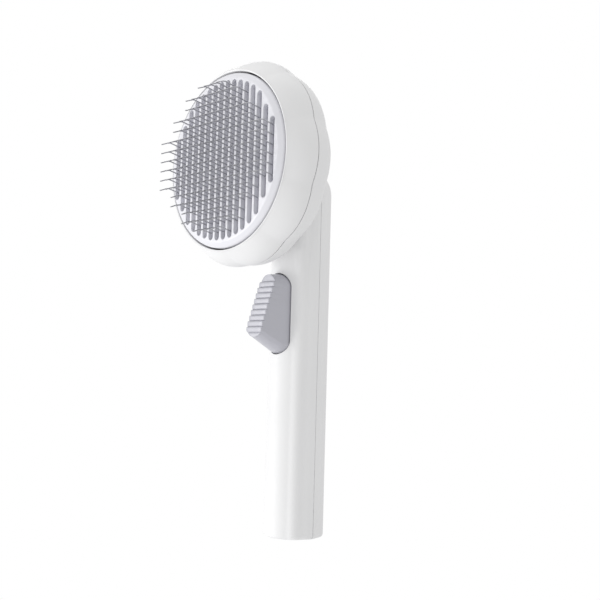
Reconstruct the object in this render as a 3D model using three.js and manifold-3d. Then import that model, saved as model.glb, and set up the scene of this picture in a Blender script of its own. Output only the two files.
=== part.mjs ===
// Self-cleaning slicker brush, in millimetres.
// +Z runs up the handle, the pins and the trigger face -Y, and the origin is the middle of the
// flat end of the handle. Squeezing the trigger tilts its arm, and the arm pushes the slotted
// stripper plate out along -Y until the hair slides off the pins.
import * as THREE from 'three';
import { mergeVertices } from 'three/addons/utils/BufferGeometryUtils.js';
import Module from 'manifold-3d';

const wasm = await Module();
wasm.setup();

// Clearances
const GAP = 0.3;
const SCREW_HOLE = 1.3;

// Handle: a fluted column, closed at both ends, split into a front and a rear half
const HANDLE_TOP = 154.2;
const HANDLE_HALF_WIDTH = 12.1;
const HANDLE_HALF_DEPTH = 12.2;
const FLUTE_GROOVES = [[6.5, -9.9], [10.7, -5], [10.7, 5], [6.5, 9.9]];
const FLUTE_BULGES = [0.095, 0.14, 0.095, 0.177];
const FLUTE_STEPS = 4;
const CAVITY_CORNERS = [[0, -9.9], [5.3, -8.6], [8.9, -4.6], [9.9, 0], [8.9, 4.6], [5.3, 8.6], [0, 9.9]];
const HANDLE_FOOT = [[0, 1.5], [0.5, 0.55], [1.9, 0]];
const SHOULDER_Z = 141.7;
const SHOULDER_INSET = 9;
const SHOULDER_ANGLES = [0, 30, 50, 68, 82];
const CAVITY_FLOOR = 2.4;
const CAVITY_LEVELS = [[2.4, 0.6], [3.4, 0], [140.7, 0], [147.7, 1.8], [151.1, 4.5]];
const END_TONGUE = 4;
const PEG_RADIUS = 1.5;
const PEG_END = -4.5;
const SOCKET_RADIUS = 2.8;
const SOCKET_END = -0.5;
const PEG_HOLE_END = -7;
const PEG_PLACES = [[0, 15, 10.6], [0, 40, 10.6], [0, 65, 10.6], [-6.6, 120.7, 8.3], [6.6, 120.7, 8.3]];
const PIVOT_RIB_X = [7.2, 10.4];
const PIVOT_RIB_HALF_HEIGHT = 4;
const PIVOT_RIB_REACH = 7;
const SCREW_SEAT_X = [3.6, 9];
const SCREW_SEAT_Z = [128, 139.9];
const FINGER_WINDOW_HALF_WIDTH = 4;
const FINGER_WINDOW_Z = [140.2, 147.9];
const FAR = 20;

// Head: a round lobed drum facing -Y, made of a front and a rear shell
const HEAD_Z = 151.3;
const LOBES = 10;
const LOBE_DEPTH = 0.03;
const LOBE_SHARPNESS = 0.9;
const HEAD_RIM_RADIUS = 36.45;
const HEAD_SEAM_RADIUS = 42.2;
const HEAD_BACK_RADIUS = 14;
const HEAD_FRONT = -42;
const HEAD_SEAM = -30.6;
const HEAD_BACK = -12.7;
const FRONT_SWELL = 2.2;
const REAR_SWELL = 0.84;
const REAR_LOBE_FADE = 0.5;
const FRONT_ANGLES = [0, 25, 42, 58, 74, 90];
const REAR_ANGLES = [0, 20, 40, 60, 77, 90];
const BORE_RADIUS = 35.8;
const BORE_EDGE = 0.1;
const FRONT_INSIDE = [[39.6, -30.75], [39.1, -34.15], [38, -36.6], [35.8, -37.6]];
const REAR_INSIDE = [[0, -14.8], [23, -15.4], [31.5, -18], [37.4, -23.2], [39.2, -28.4]];
const SEAM_LIP = [[37.5, -29], [37.5, -34.4], [38.7, -34.4], [38.9, -30.45]];
const HEAD_SIDES = 50;
const POST_OFFSET = 19;
const POST_RADIUS = 3;
const POST_END = -15.5;
const NECK_LOW = 127.9;
const NECK_HIGH = 153.1;
const NECK_HALF_WIDTH = 10.4;
const NECK_Y = [-5.5, -13.7];
const NECK_POST_RADIUS = 2.7;
const NECK_POST_Y = [-20.5, -14];
const NECK_WINDOW_Z = [139.3, 147.9];

// Stripper plate: a shallow cup whose slotted front slides out over the pins
const PLATE_RADIUS = 35.2;
const PLATE_FRONT = -43.7;
const PLATE_BACK = -41.7;
const PLATE_RIM = [[32.4, -43.7], [33.6, -43.25], [34.7, -42.65], [35.2, -41.9]];
const SKIRT_INSIDE = 33.7;
const SKIRT_END = -23.4;
const SLOT_PITCH = 3.958;
const SLOT_WIDTH = 2.8;
const SLOT_REACH = [32.1, 31.7, 30.7, 29.3, 27.2, 24.1, 18.1, 12.8];

// Pins: bent steel wires standing in one row behind each slot
const PINS_IN_ROW = [16, 16, 14, 14, 10, 10, 6, 6];
const PIN_PITCH = 3.85;
const PIN_WIDTH = 0.5;
const PIN_BEND_Y = -48.6;
const PIN_TIP_Y = -52.7;
const PIN_RISE = Math.tan(THREE.MathUtils.degToRad(12));
const PIN_FALL = Math.tan(THREE.MathUtils.degToRad(21));
const ROW_BAR_FRONT = -39.7;
const ROW_BAR_BACK = -38.8;
const ROW_SLOT_END = 1.2;
const ROW_BAR_END = 1.8;

// Pin bed and the plate clipped behind it
const BED_FRONT = -41.2;
const BED_STEP = -40;
const BED_BACK = -38.8;
const BED_RADIUS = 33.4;
const BED_RIM_INSIDE = 32.5;
const BED_RIM_END = -35.2;
const CLIP_HALF_WIDTH = 4;
const CLIP_RADII = [31.4, 33];
const CLIP_HEIGHT = 1;
const BACKING_FRONT = BED_BACK + GAP;
const BACKING_BACK = -36.5;
const BACKING_RADIUS = BED_RIM_INSIDE - GAP;
const POCKET_DEPTH = 1.3;
const POST_FRONT = BACKING_BACK + GAP;

// Pusher: the disc that carries the stripper plate and seats the four return springs
const PUSHER_FRONT = -25.9;
const PUSHER_BACK = -23.9;
const PUSHER_RADIUS = 33.4;
const CUP_BACK = -20.4;
const CUP_FLOOR = 1;
const CUP_INSIDE = 4.7;
const CUP_OUTSIDE = 5.9;
const CUP_HOLE = 3.4;
const PAD_BACK = -22.9;
const PAD_HALF_WIDTH = 5;
const PAD_Z = [136.7, 152.3];
const TAB_HALF_WIDTH = 4;
const TAB_RADII = [31.4, 35];
const TAB_Y = [-25.4, -24.4];
const TAB_WINDOW_RADII = [31.7, 36.2];
const TAB_WINDOW_Y = [-25.7, -24.1];
const SPRING_RADIUS = 4;
const SPRING_WIRE = 0.6;
const SPRING_TURNS = 5;
const SPRING_STEPS = 8;

// Trigger and its rocking arm
const TRIGGER_LOW = 75.7;
const TRIGGER_HIGH = 108.4;
const TRIGGER_HALF_WIDTH = 5.7;
const TRIGGER_NOSE_LOW = 81.6;
const TRIGGER_NOSE_HIGH = 107.9;
const TRIGGER_NOSE_HALF_WIDTH = 4.8;
const TRIGGER_NOSE_Y = -25;
const TRIGGER_ROOT_Y = -7;
const TRIGGER_HOLLOW = [[-3.9, 3.9], [-16, -6], [81.2, 103.2]];
const TRIGGER_WEB = [[-2, 103.7], [-3, 110.7], [-9, 107.9], [-16.5, 103.2], [-16.5, 80.5], [-7, 80.5]];
const WEB_HALF_WIDTH = 1;
const RIB_FACES = [-17.7, -18.7, -19.6, -20.4, -21.2, -22, -22.7, -23.5, -24.3, -24.8, -24.6];
const RIB_TOP = 104.7;
const RIB_PITCH = 2.355;
const WINDOW_GAP = 0.4;
const WINDOW_INSIDE_Y = -5;
const WINDOW_OUTSIDE_Y = -20;
const WINDOW_LOW_INSIDE = 73.4;
const WINDOW_LOW_OUTSIDE = 76.7;
const PIVOT_Z = 107.7;
const PIVOT_RADIUS = 1.5;
const PIVOT_HALF_LENGTH = 9.4;
const HUB_RADIUS = 4;
const HUB_HALF_WIDTH = 5;
const ARM_HALF_WIDTH = 3;
const ARM_ROOT_HALF_DEPTH = 3.4;
const ARM_BACK = 5.5;
const ARM_FRONT = 1;
const FINGER_Z = 144.7;
const FINGER_HALF_HEIGHT = 2;
const FINGER_ANGLES = [90, 126, 162, 198, 234, 270];
const FINGER_TIP_Y = PAD_BACK + GAP;

// Screws
const SCREW_RADIUS = 1;
const HEAD_RADIUS = 2;
const HEAD_HEIGHT = 1;
const DRIVE_RADIUS = 0.9;
const DRIVE_DEPTH = 0.6;
const NECK_SCREW_X = 5.5;
const NECK_SCREW_HEIGHTS = [131.2, 136.7];
const NECK_SEAT_Y = -6.4;
const NECK_SCREW_TIP = -19;
const BED_SCREW_TIP = -28;

const ROUND = 12;
const FINE_ROUND = 48;

const PAINTS = {
  white: { color: 0xf4f4f6, roughness: 0.42, metalness: 0 },
  pale: { color: 0xe6e6ee, roughness: 0.4, metalness: 0 },
  lilac: { color: 0xa9aab8, roughness: 0.45, metalness: 0 },
  grey: { color: 0x8f919b, roughness: 0.55, metalness: 0 },
  steel: { color: 0xb4b7bc, roughness: 0.25, metalness: 1 },
};

// ---- solids ----

function solid(geometry) {
  const bare = geometry.clone();
  bare.deleteAttribute('normal');
  bare.deleteAttribute('uv');
  const merged = mergeVertices(bare, 1e-4);
  const corners = merged.index.array;
  const faces = [];
  for (let i = 0; i < corners.length; i += 3) {
    const [a, b, c] = corners.slice(i, i + 3);
    if (a !== b && b !== c && c !== a) {
      faces.push(a, b, c);
    }
  }
  return new wasm.Manifold(new wasm.Mesh({
    numProp: 3,
    vertProperties: Float32Array.from(merged.attributes.position.array),
    triVerts: Uint32Array.from(faces),
  }));
}

function joined(pieces) {
  return pieces.reduce((whole, piece) => whole.add(piece));
}

function cut(body, tools) {
  return tools.reduce((rest, tool) => rest.subtract(tool), body);
}

function box([x0, x1], [y0, y1], [z0, z1]) {
  const geometry = new THREE.BoxGeometry(x1 - x0, y1 - y0, z1 - z0);
  geometry.translate((x0 + x1) / 2, (y0 + y1) / 2, (z0 + z1) / 2);
  return solid(geometry);
}

function rodAlongY(x, z, y0, y1, radius, sides = ROUND) {
  const geometry = new THREE.CylinderGeometry(radius, radius, y1 - y0, sides);
  geometry.translate(x, (y0 + y1) / 2, z);
  return solid(geometry);
}

function rodAlongX(y, z, halfLength, radius, sides = ROUND) {
  const geometry = new THREE.CylinderGeometry(radius, radius, 2 * halfLength, sides);
  geometry.rotateZ(Math.PI / 2);
  geometry.translate(0, y, z);
  return solid(geometry);
}

// A profile of [radius, y] points turned about the head's axis. The weights say how far the
// head's lobes pull each profile point in.
function turned(profile, sides = FINE_ROUND, weights = []) {
  const points = profile.map(([radius, y]) => new THREE.Vector2(radius, y));
  const geometry = new THREE.LatheGeometry(points, sides);
  const place = geometry.attributes.position;
  for (let i = 0; i < place.count; i += 1) {
    const angle = Math.atan2(place.getZ(i), place.getX(i));
    const scale = 1 + (weights[i % points.length] ?? 0) * lobe(angle);
    place.setXYZ(i, place.getX(i) * scale, place.getY(i), place.getZ(i) * scale);
  }
  geometry.translate(0, 0, HEAD_Z);
  return solid(geometry);
}

function lobe(angle) {
  return LOBE_DEPTH * (Math.abs(Math.cos(angle * LOBES / 2)) ** LOBE_SHARPNESS - 1);
}

// An outline of [x, y] points carried up through levels of [z, inset]
function column(outline, levels, halfWidth, halfDepth) {
  const shape = new THREE.Shape(outline.map(([x, y]) => new THREE.Vector2(x, y)));
  const steps = levels.length - 1;
  const geometry = new THREE.ExtrudeGeometry(shape, { depth: steps, steps, bevelEnabled: false });
  const place = geometry.attributes.position;
  for (let i = 0; i < place.count; i += 1) {
    const [z, inset] = levels[Math.round(place.getZ(i))];
    const x = place.getX(i) * (1 - inset / halfWidth);
    const y = place.getY(i) * (1 - inset / halfDepth);
    place.setXYZ(i, x, y, z);
  }
  return solid(geometry);
}

// A side view of [y, z] points made as thick as the span of x
function sideCut(outline, [x0, x1]) {
  const shape = new THREE.Shape(outline.map(([y, z]) => new THREE.Vector2(y, z)));
  const geometry = new THREE.ExtrudeGeometry(shape, { depth: x1 - x0, bevelEnabled: false });
  const turn = new THREE.Matrix4().makeBasis(
    new THREE.Vector3(0, 1, 0),
    new THREE.Vector3(0, 0, 1),
    new THREE.Vector3(1, 0, 0),
  );
  geometry.applyMatrix4(turn);
  geometry.translate(x0, 0, 0);
  return solid(geometry);
}

// An upright round-ended outline: [x, z] points around a stadium
function stadium(x, low, high, halfWidth, arcSteps) {
  const points = [];
  const ends = [[high - halfWidth, 0], [low + halfWidth, Math.PI]];
  for (const [z, start] of ends) {
    for (let i = 0; i <= arcSteps; i += 1) {
      const angle = start + Math.PI * i / arcSteps;
      points.push([x + halfWidth * Math.cos(angle), z + halfWidth * Math.sin(angle)]);
    }
  }
  return points;
}

// Two outlines with the same number of [x, z] points, joined from one y to a lower y
function taper(backOutline, backY, frontOutline, frontY) {
  const shape = new THREE.Shape(backOutline.map(([x, z]) => new THREE.Vector2(x, z)));
  const geometry = new THREE.ExtrudeGeometry(shape, { depth: 1, bevelEnabled: false });
  const place = geometry.attributes.position;
  for (let i = 0; i < place.count; i += 1) {
    const near = (point) => Math.hypot(point[0] - place.getX(i), point[1] - place.getY(i)) < 1e-4;
    const atFront = place.getZ(i) > 0.5;
    const [x, z] = (atFront ? frontOutline : backOutline)[backOutline.findIndex(near)];
    place.setXYZ(i, x, atFront ? frontY : backY, z);
  }
  return solid(geometry);
}

// ---- handle ----

function flutedOutline() {
  const left = FLUTE_GROOVES.map(([x, y]) => [-x, y]).reverse();
  const grooves = [...FLUTE_GROOVES, ...left];
  const points = [];
  grooves.forEach(([x0, y0], i) => {
    const [x1, y1] = grooves[(i + 1) % grooves.length];
    for (let step = 0; step < FLUTE_STEPS; step += 1) {
      const t = step / FLUTE_STEPS;
      const swell = FLUTE_BULGES[i % FLUTE_BULGES.length] * 4 * t * (1 - t);
      points.push([
        x0 + (x1 - x0) * t + (y1 - y0) * swell,
        y0 + (y1 - y0) * t - (x1 - x0) * swell,
      ]);
    }
  });
  return points;
}

function handleBlank(grow) {
  const shoulder = SHOULDER_ANGLES.map((angle) => {
    const turn = THREE.MathUtils.degToRad(angle);
    return [SHOULDER_Z + (HANDLE_TOP - SHOULDER_Z) * Math.sin(turn), SHOULDER_INSET * (1 - Math.cos(turn))];
  });
  const grown = [...HANDLE_FOOT, ...shoulder].map(([z, inset]) => [z === 0 ? -grow : z, inset - grow]);
  return column(flutedOutline(), grown, HANDLE_HALF_WIDTH, HANDLE_HALF_DEPTH);
}

function handleCavity() {
  const left = CAVITY_CORNERS.slice(1, -1).map(([x, y]) => [-x, y]).reverse();
  return column([...CAVITY_CORNERS, ...left], CAVITY_LEVELS, HANDLE_HALF_WIDTH, HANDLE_HALF_DEPTH);
}

function neckScrewPlaces() {
  return NECK_SCREW_HEIGHTS.flatMap((z) => [[-NECK_SCREW_X, z], [NECK_SCREW_X, z]]);
}

function bothSides([inner, outer]) {
  return [[-outer, -inner], [inner, outer]];
}

function pivotRibs(ySpan) {
  const zSpan = [PIVOT_Z - PIVOT_RIB_HALF_HEIGHT, PIVOT_Z + PIVOT_RIB_HALF_HEIGHT];
  const hole = rodAlongX(0, PIVOT_Z, PIVOT_HALF_LENGTH + 2 * GAP, PIVOT_RADIUS + GAP);
  return bothSides(PIVOT_RIB_X).map((xSpan) => box(xSpan, ySpan, zSpan).subtract(hole));
}

// Its lower edge slopes, so that the trigger's lower end swings past it
function triggerWindow() {
  const [inside, outside] = [WINDOW_LOW_INSIDE, WINDOW_LOW_OUTSIDE].map(
    (low) => stadium(0, low, TRIGGER_HIGH + WINDOW_GAP, TRIGGER_HALF_WIDTH + WINDOW_GAP, 8),
  );
  return taper(inside, WINDOW_INSIDE_Y, outside, WINDOW_OUTSIDE_Y);
}

function fingerWindow(zSpan) {
  return box([-FINGER_WINDOW_HALF_WIDTH, FINGER_WINDOW_HALF_WIDTH], [-2 * FAR, NECK_Y[0] + 1], zSpan);
}

function handleFrontShell() {
  const blank = handleBlank(0);
  const half = box([-FAR, FAR], [-FAR, -GAP / 2], [-FAR, HANDLE_TOP + FAR]);
  const screwSeats = bothSides(SCREW_SEAT_X).map((xSpan) => box(xSpan, [-FAR, NECK_SEAT_Y], SCREW_SEAT_Z));
  const sockets = PEG_PLACES.map(([x, z, reach]) => rodAlongY(x, z, -reach, SOCKET_END, SOCKET_RADIUS));
  const inner = [...screwSeats, ...pivotRibs([-PIVOT_RIB_REACH, -GAP / 2]), ...sockets];
  const added = inner.map((piece) => piece.intersect(blank));
  const notch = END_TONGUE + GAP;
  return cut(joined([blank.subtract(handleCavity()), ...added]).intersect(half), [
    box([-notch, notch], [-notch, FAR], [-FAR, CAVITY_FLOOR + 1]),
    triggerWindow(),
    fingerWindow(FINGER_WINDOW_Z),
    ...PEG_PLACES.map(([x, z]) => rodAlongY(x, z, PEG_HOLE_END, 0, PEG_RADIUS + GAP)),
    ...neckScrewPlaces().map(([x, z]) => rodAlongY(x, z, -FAR, NECK_SEAT_Y + 1, SCREW_HOLE)),
  ]);
}

function handleRearShell() {
  const blank = handleBlank(0);
  const half = box([-FAR, FAR], [GAP / 2, FAR], [-FAR, HANDLE_TOP + FAR]);
  const ribs = pivotRibs([GAP / 2, PIVOT_RIB_REACH]).map((rib) => rib.intersect(blank));
  const shell = joined([blank.subtract(handleCavity()), ...ribs]).intersect(half);
  const pegs = PEG_PLACES.map(([x, z, reach]) => rodAlongY(x, z, PEG_END, reach, PEG_RADIUS));
  const tongue = box([-END_TONGUE, END_TONGUE], [-END_TONGUE, 1], [0, CAVITY_FLOOR]);
  return joined([shell, tongue, ...pegs]);
}

// ---- head ----

function frontArc(turn) {
  return [
    HEAD_RIM_RADIUS + (HEAD_SEAM_RADIUS - HEAD_RIM_RADIUS) * Math.sin(turn) ** FRONT_SWELL,
    HEAD_FRONT + (HEAD_SEAM - GAP / 2 - HEAD_FRONT) * (1 - Math.cos(turn)),
  ];
}

function rearArc(turn) {
  return [
    HEAD_BACK_RADIUS + (HEAD_SEAM_RADIUS - HEAD_BACK_RADIUS) * Math.cos(turn) ** REAR_SWELL,
    HEAD_SEAM + GAP / 2 + (HEAD_BACK - HEAD_SEAM - GAP / 2) * Math.sin(turn),
  ];
}

function headFrontShell() {
  const profile = [[BORE_RADIUS, HEAD_FRONT + BORE_EDGE]];
  const weights = [0];
  for (const angle of FRONT_ANGLES) {
    const turn = THREE.MathUtils.degToRad(angle);
    profile.push(frontArc(turn));
    weights.push(Math.sin(turn));
  }
  profile.push(...FRONT_INSIDE, profile[0]);
  return turned(profile, HEAD_SIDES, weights);
}

function headRearDome() {
  const profile = [...REAR_INSIDE, ...SEAM_LIP];
  const weights = profile.map(() => 0);
  for (const angle of REAR_ANGLES) {
    const turn = THREE.MathUtils.degToRad(angle);
    profile.push(rearArc(turn));
    weights.push(Math.cos(turn) ** REAR_LOBE_FADE);
  }
  profile.push([0, HEAD_BACK]);
  weights.push(0);
  return turned(profile, HEAD_SIDES, weights);
}

function postPlaces() {
  const sides = [-POST_OFFSET, POST_OFFSET];
  return sides.flatMap((x) => sides.map((z) => [x, HEAD_Z + z]));
}

function headRearShell() {
  const neckOutline = stadium(0, NECK_LOW, NECK_HIGH, NECK_HALF_WIDTH, 8);
  const neck = taper(neckOutline, NECK_Y[0], neckOutline, NECK_Y[1]).subtract(handleBlank(GAP));
  const posts = postPlaces().map(([x, z]) => rodAlongY(x, z, POST_FRONT, POST_END, POST_RADIUS));
  const neckPosts = neckScrewPlaces().map(([x, z]) => rodAlongY(x, z, ...NECK_POST_Y, NECK_POST_RADIUS));
  return cut(joined([headRearDome(), neck, ...posts, ...neckPosts]), [
    fingerWindow(NECK_WINDOW_Z),
    ...postPlaces().map(([x, z]) => rodAlongY(x, z, POST_FRONT - 1, BED_SCREW_TIP + 1, SCREW_HOLE)),
    ...neckScrewPlaces().map(([x, z]) => rodAlongY(x, z, NECK_POST_Y[0] - 1, 0, SCREW_HOLE)),
  ]);
}

// ---- pins, their bed and the stripper plate ----

function rowX(row) {
  return (row - (2 * SLOT_REACH.length - 1) / 2) * SLOT_PITCH;
}

function fromMiddle(row) {
  const half = SLOT_REACH.length;
  return row < half ? half - 1 - row : row - half;
}

function rowReach(row) {
  return (PINS_IN_ROW[fromMiddle(row)] - 1) / 2 * PIN_PITCH;
}

function pinRow(row) {
  const count = PINS_IN_ROW[fromMiddle(row)];
  const barReach = rowReach(row) + ROW_BAR_END;
  const outline = [[ROW_BAR_BACK, barReach], [ROW_BAR_BACK, -barReach], [ROW_BAR_FRONT, -barReach]];
  for (let i = 0; i < count; i += 1) {
    const z = (i - (count - 1) / 2) * PIN_PITCH;
    const path = [
      [ROW_BAR_FRONT, z - (ROW_BAR_FRONT - PLATE_FRONT) * PIN_RISE],
      [PIN_BEND_Y, z + (PLATE_FRONT - PIN_BEND_Y) * PIN_RISE],
      [PIN_TIP_Y, z + (PLATE_FRONT - PIN_BEND_Y) * PIN_RISE - (PIN_BEND_Y - PIN_TIP_Y) * PIN_FALL],
    ];
    const lower = path.map(([y, height]) => [y, height - PIN_WIDTH / 2]);
    const upper = path.map(([y, height]) => [y, height + PIN_WIDTH / 2]).reverse();
    outline.push(...lower, ...upper);
  }
  outline.push([ROW_BAR_FRONT, barReach]);
  const placed = outline.map(([y, z]) => [y, HEAD_Z + z]);
  return sideCut(placed, [rowX(row) - PIN_WIDTH / 2, rowX(row) + PIN_WIDTH / 2]);
}

function rowSlot(row, reach, [y0, y1]) {
  const halfWidth = PIN_WIDTH / 2 + GAP;
  return box([rowX(row) - halfWidth, rowX(row) + halfWidth], [y0, y1], [HEAD_Z - reach, HEAD_Z + reach]);
}

// Four short tongues on the compass points of a disc, from one radius to another
function tongues(halfWidth, radii, ySpan) {
  const across = [-halfWidth, halfWidth];
  const raised = (zSpan) => zSpan.map((z) => HEAD_Z + z);
  const level = bothSides(radii).map((xSpan) => box(xSpan, ySpan, raised(across)));
  const upright = bothSides(radii).map((zSpan) => box(across, ySpan, raised(zSpan)));
  return [...level, ...upright];
}

function pinBed(rows) {
  const dish = turned([
    [0, BED_FRONT], [BED_RADIUS, BED_FRONT], [BED_RADIUS, BED_RIM_END],
    [BED_RIM_INSIDE, BED_RIM_END], [BED_RIM_INSIDE, BED_BACK], [0, BED_BACK],
  ]);
  const hooks = tongues(CLIP_HALF_WIDTH, CLIP_RADII, [BED_RIM_END - CLIP_HEIGHT, BED_RIM_END]);
  const slots = rows.map((row) => rowSlot(row, rowReach(row) + ROW_SLOT_END, [BED_FRONT - 1, BED_BACK + 1]));
  const grooveEnd = ROW_BAR_END + GAP;
  const grooves = rows.map((row) => rowSlot(row, rowReach(row) + grooveEnd, [BED_STEP, BED_BACK + 1]));
  return cut(joined([dish, ...hooks]), [...slots, ...grooves]);
}

function pinBacking() {
  const disc = rodAlongY(0, HEAD_Z, BACKING_FRONT, BACKING_BACK, BACKING_RADIUS, FINE_ROUND);
  const pocketFloor = BACKING_FRONT + POCKET_DEPTH;
  return cut(disc, [
    ...postPlaces().map(([x, z]) => rodAlongY(x, z, BACKING_FRONT - 1, pocketFloor, HEAD_RADIUS + GAP)),
    ...postPlaces().map(([x, z]) => rodAlongY(x, z, BACKING_FRONT, BACKING_BACK + 1, SCREW_HOLE)),
  ]);
}

function stripperPlate(rows) {
  const cup = turned([
    [0, PLATE_FRONT],
    ...PLATE_RIM,
    [PLATE_RADIUS, SKIRT_END],
    [SKIRT_INSIDE, SKIRT_END],
    [SKIRT_INSIDE, PLATE_BACK],
    [0, PLATE_BACK],
  ]);
  const slots = rows.map((row) => {
    const reach = SLOT_REACH[fromMiddle(row)];
    const outline = stadium(rowX(row), HEAD_Z - reach, HEAD_Z + reach, SLOT_WIDTH / 2, 3);
    return taper(outline, PLATE_BACK + 1, outline, PLATE_FRONT - 1);
  });
  const windows = tongues(TAB_HALF_WIDTH + GAP, TAB_WINDOW_RADII, TAB_WINDOW_Y);
  return cut(cup, [...slots, ...windows]);
}

function pusher() {
  const disc = rodAlongY(0, HEAD_Z, PUSHER_FRONT, PUSHER_BACK, PUSHER_RADIUS, FINE_ROUND);
  const tabs = tongues(TAB_HALF_WIDTH, TAB_RADII, TAB_Y);
  const pad = box([-PAD_HALF_WIDTH, PAD_HALF_WIDTH], [PUSHER_FRONT, PAD_BACK], PAD_Z);
  const cups = postPlaces().map(([x, z]) => rodAlongY(x, z, PUSHER_FRONT, CUP_BACK, CUP_OUTSIDE));
  return cut(joined([disc, pad, ...tabs, ...cups]), [
    ...postPlaces().map(([x, z]) => rodAlongY(x, z, PUSHER_FRONT - 1, CUP_BACK - CUP_FLOOR, CUP_INSIDE)),
    ...postPlaces().map(([x, z]) => rodAlongY(x, z, PUSHER_FRONT, CUP_BACK + 1, CUP_HOLE)),
  ]);
}

class SpringPath extends THREE.Curve {
  constructor(length) {
    super();
    this.length = length;
  }

  getPoint(t, target = new THREE.Vector3()) {
    const angle = t * SPRING_TURNS * 2 * Math.PI;
    return target.set(SPRING_RADIUS * Math.cos(angle), this.length * t, SPRING_RADIUS * Math.sin(angle));
  }
}

function returnSpring([x, z]) {
  const front = POST_FRONT + SPRING_WIRE / 2;
  const back = CUP_BACK - CUP_FLOOR - GAP - SPRING_WIRE / 2;
  const half = SPRING_WIRE / 2;
  const wire = new THREE.Shape([
    new THREE.Vector2(-half, -half),
    new THREE.Vector2(half, -half),
    new THREE.Vector2(half, half),
    new THREE.Vector2(-half, half),
  ]);
  const geometry = new THREE.ExtrudeGeometry(wire, {
    steps: SPRING_TURNS * SPRING_STEPS,
    bevelEnabled: false,
    extrudePath: new SpringPath(back - front),
  });
  geometry.translate(x, front, z);
  return solid(geometry);
}

// ---- trigger ----

function ribbedSide() {
  const outline = [[TRIGGER_ROOT_Y, TRIGGER_LOW - 1], [TRIGGER_ROOT_Y, TRIGGER_HIGH + 1]];
  RIB_FACES.forEach((y, rib) => {
    const top = rib === 0 ? TRIGGER_HIGH + 1 : RIB_TOP - RIB_PITCH * (rib - 1);
    const low = rib === RIB_FACES.length - 1 ? TRIGGER_LOW - 1 : RIB_TOP - RIB_PITCH * rib;
    outline.push([y, top], [y, low]);
  });
  return outline;
}

function armOutline() {
  const tipY = FINGER_TIP_Y + FINGER_HALF_HEIGHT;
  const outline = [
    [-ARM_ROOT_HALF_DEPTH, PIVOT_Z],
    [ARM_ROOT_HALF_DEPTH, PIVOT_Z],
    [ARM_BACK, FINGER_Z - 2 * FINGER_HALF_HEIGHT],
    [ARM_BACK, FINGER_Z + FINGER_HALF_HEIGHT],
  ];
  for (const angle of FINGER_ANGLES) {
    const turn = THREE.MathUtils.degToRad(angle);
    outline.push([
      tipY + FINGER_HALF_HEIGHT * Math.cos(turn),
      FINGER_Z + FINGER_HALF_HEIGHT * Math.sin(turn),
    ]);
  }
  outline.push([ARM_FRONT, FINGER_Z - FINGER_HALF_HEIGHT]);
  return outline;
}

function trigger() {
  const base = stadium(0, TRIGGER_LOW, TRIGGER_HIGH, TRIGGER_HALF_WIDTH, 8);
  const nose = stadium(0, TRIGGER_NOSE_LOW, TRIGGER_NOSE_HIGH, TRIGGER_NOSE_HALF_WIDTH, 8);
  const outside = taper(base, -HANDLE_HALF_DEPTH, nose, TRIGGER_NOSE_Y);
  const root = taper(base, TRIGGER_ROOT_Y, base, -HANDLE_HALF_DEPTH);
  const hollow = box(...TRIGGER_HOLLOW);
  const web = sideCut(TRIGGER_WEB, [-WEB_HALF_WIDTH, WEB_HALF_WIDTH]);
  const button = joined([outside, root]).intersect(sideCut(ribbedSide(), [-FAR, FAR])).subtract(hollow);
  const hub = rodAlongX(0, PIVOT_Z, HUB_HALF_WIDTH, HUB_RADIUS);
  const arm = sideCut(armOutline(), [-ARM_HALF_WIDTH, ARM_HALF_WIDTH]);
  const hole = rodAlongX(0, PIVOT_Z, HUB_HALF_WIDTH + 1, PIVOT_RADIUS + GAP);
  return joined([button, web, hub, arm]).subtract(hole);
}

// ---- screws ----

function screw([x, z], headY, tipY) {
  const towardTip = Math.sign(tipY - headY);
  const neckY = headY + towardTip * HEAD_HEIGHT;
  const head = rodAlongY(x, z, Math.min(headY, neckY), Math.max(headY, neckY), HEAD_RADIUS);
  const shank = rodAlongY(x, z, Math.min(headY, tipY), Math.max(headY, tipY), SCREW_RADIUS, 8);
  const drive = rodAlongY(x, z, headY - DRIVE_DEPTH, headY + DRIVE_DEPTH, DRIVE_RADIUS, 4);
  return head.add(shank).subtract(drive);
}

// ---- the brush ----

const brush = new THREE.Group();

function place(name, body, paint) {
  const { vertProperties, triVerts } = body.getMesh();
  const geometry = new THREE.BufferGeometry();
  geometry.setAttribute('position', new THREE.BufferAttribute(vertProperties, 3));
  geometry.setIndex(new THREE.BufferAttribute(triVerts, 1));
  geometry.computeVertexNormals();
  const mesh = new THREE.Mesh(geometry, new THREE.MeshStandardMaterial(PAINTS[paint]));
  mesh.name = name;
  brush.add(mesh);
}

const rows = Array.from({ length: 2 * SLOT_REACH.length }, (_, row) => row);
const bedScrewHead = BACKING_FRONT + 0.1;
const neckScrewHead = NECK_SEAT_Y + GAP + HEAD_HEIGHT;

place('handle_front_shell', handleFrontShell(), 'white');
place('handle_rear_shell', handleRearShell(), 'white');
place('head_front_shell', headFrontShell(), 'white');
place('head_rear_shell', headRearShell(), 'white');
place('stripper_plate', stripperPlate(rows), 'pale');
place('pusher_carrier', pusher(), 'grey');
place('pin_bed', pinBed(rows), 'grey');
place('pin_backing_plate', pinBacking(), 'grey');
rows.forEach((row) => place(`pin_row_${String(row + 1).padStart(2, '0')}`, pinRow(row), 'steel'));
postPlaces().forEach((spot, i) => {
  place(`return_spring_${i + 1}`, returnSpring(spot), 'steel');
  place(`bed_screw_${i + 1}`, screw(spot, bedScrewHead, BED_SCREW_TIP), 'steel');
});
neckScrewPlaces().forEach((spot, i) => {
  place(`neck_screw_${i + 1}`, screw(spot, neckScrewHead, NECK_SCREW_TIP), 'steel');
});
place('trigger', trigger(), 'lilac');
place('trigger_pivot_pin', rodAlongX(0, PIVOT_Z, PIVOT_HALF_LENGTH, PIVOT_RADIUS), 'steel');

export default brush;
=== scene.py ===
import math

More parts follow.
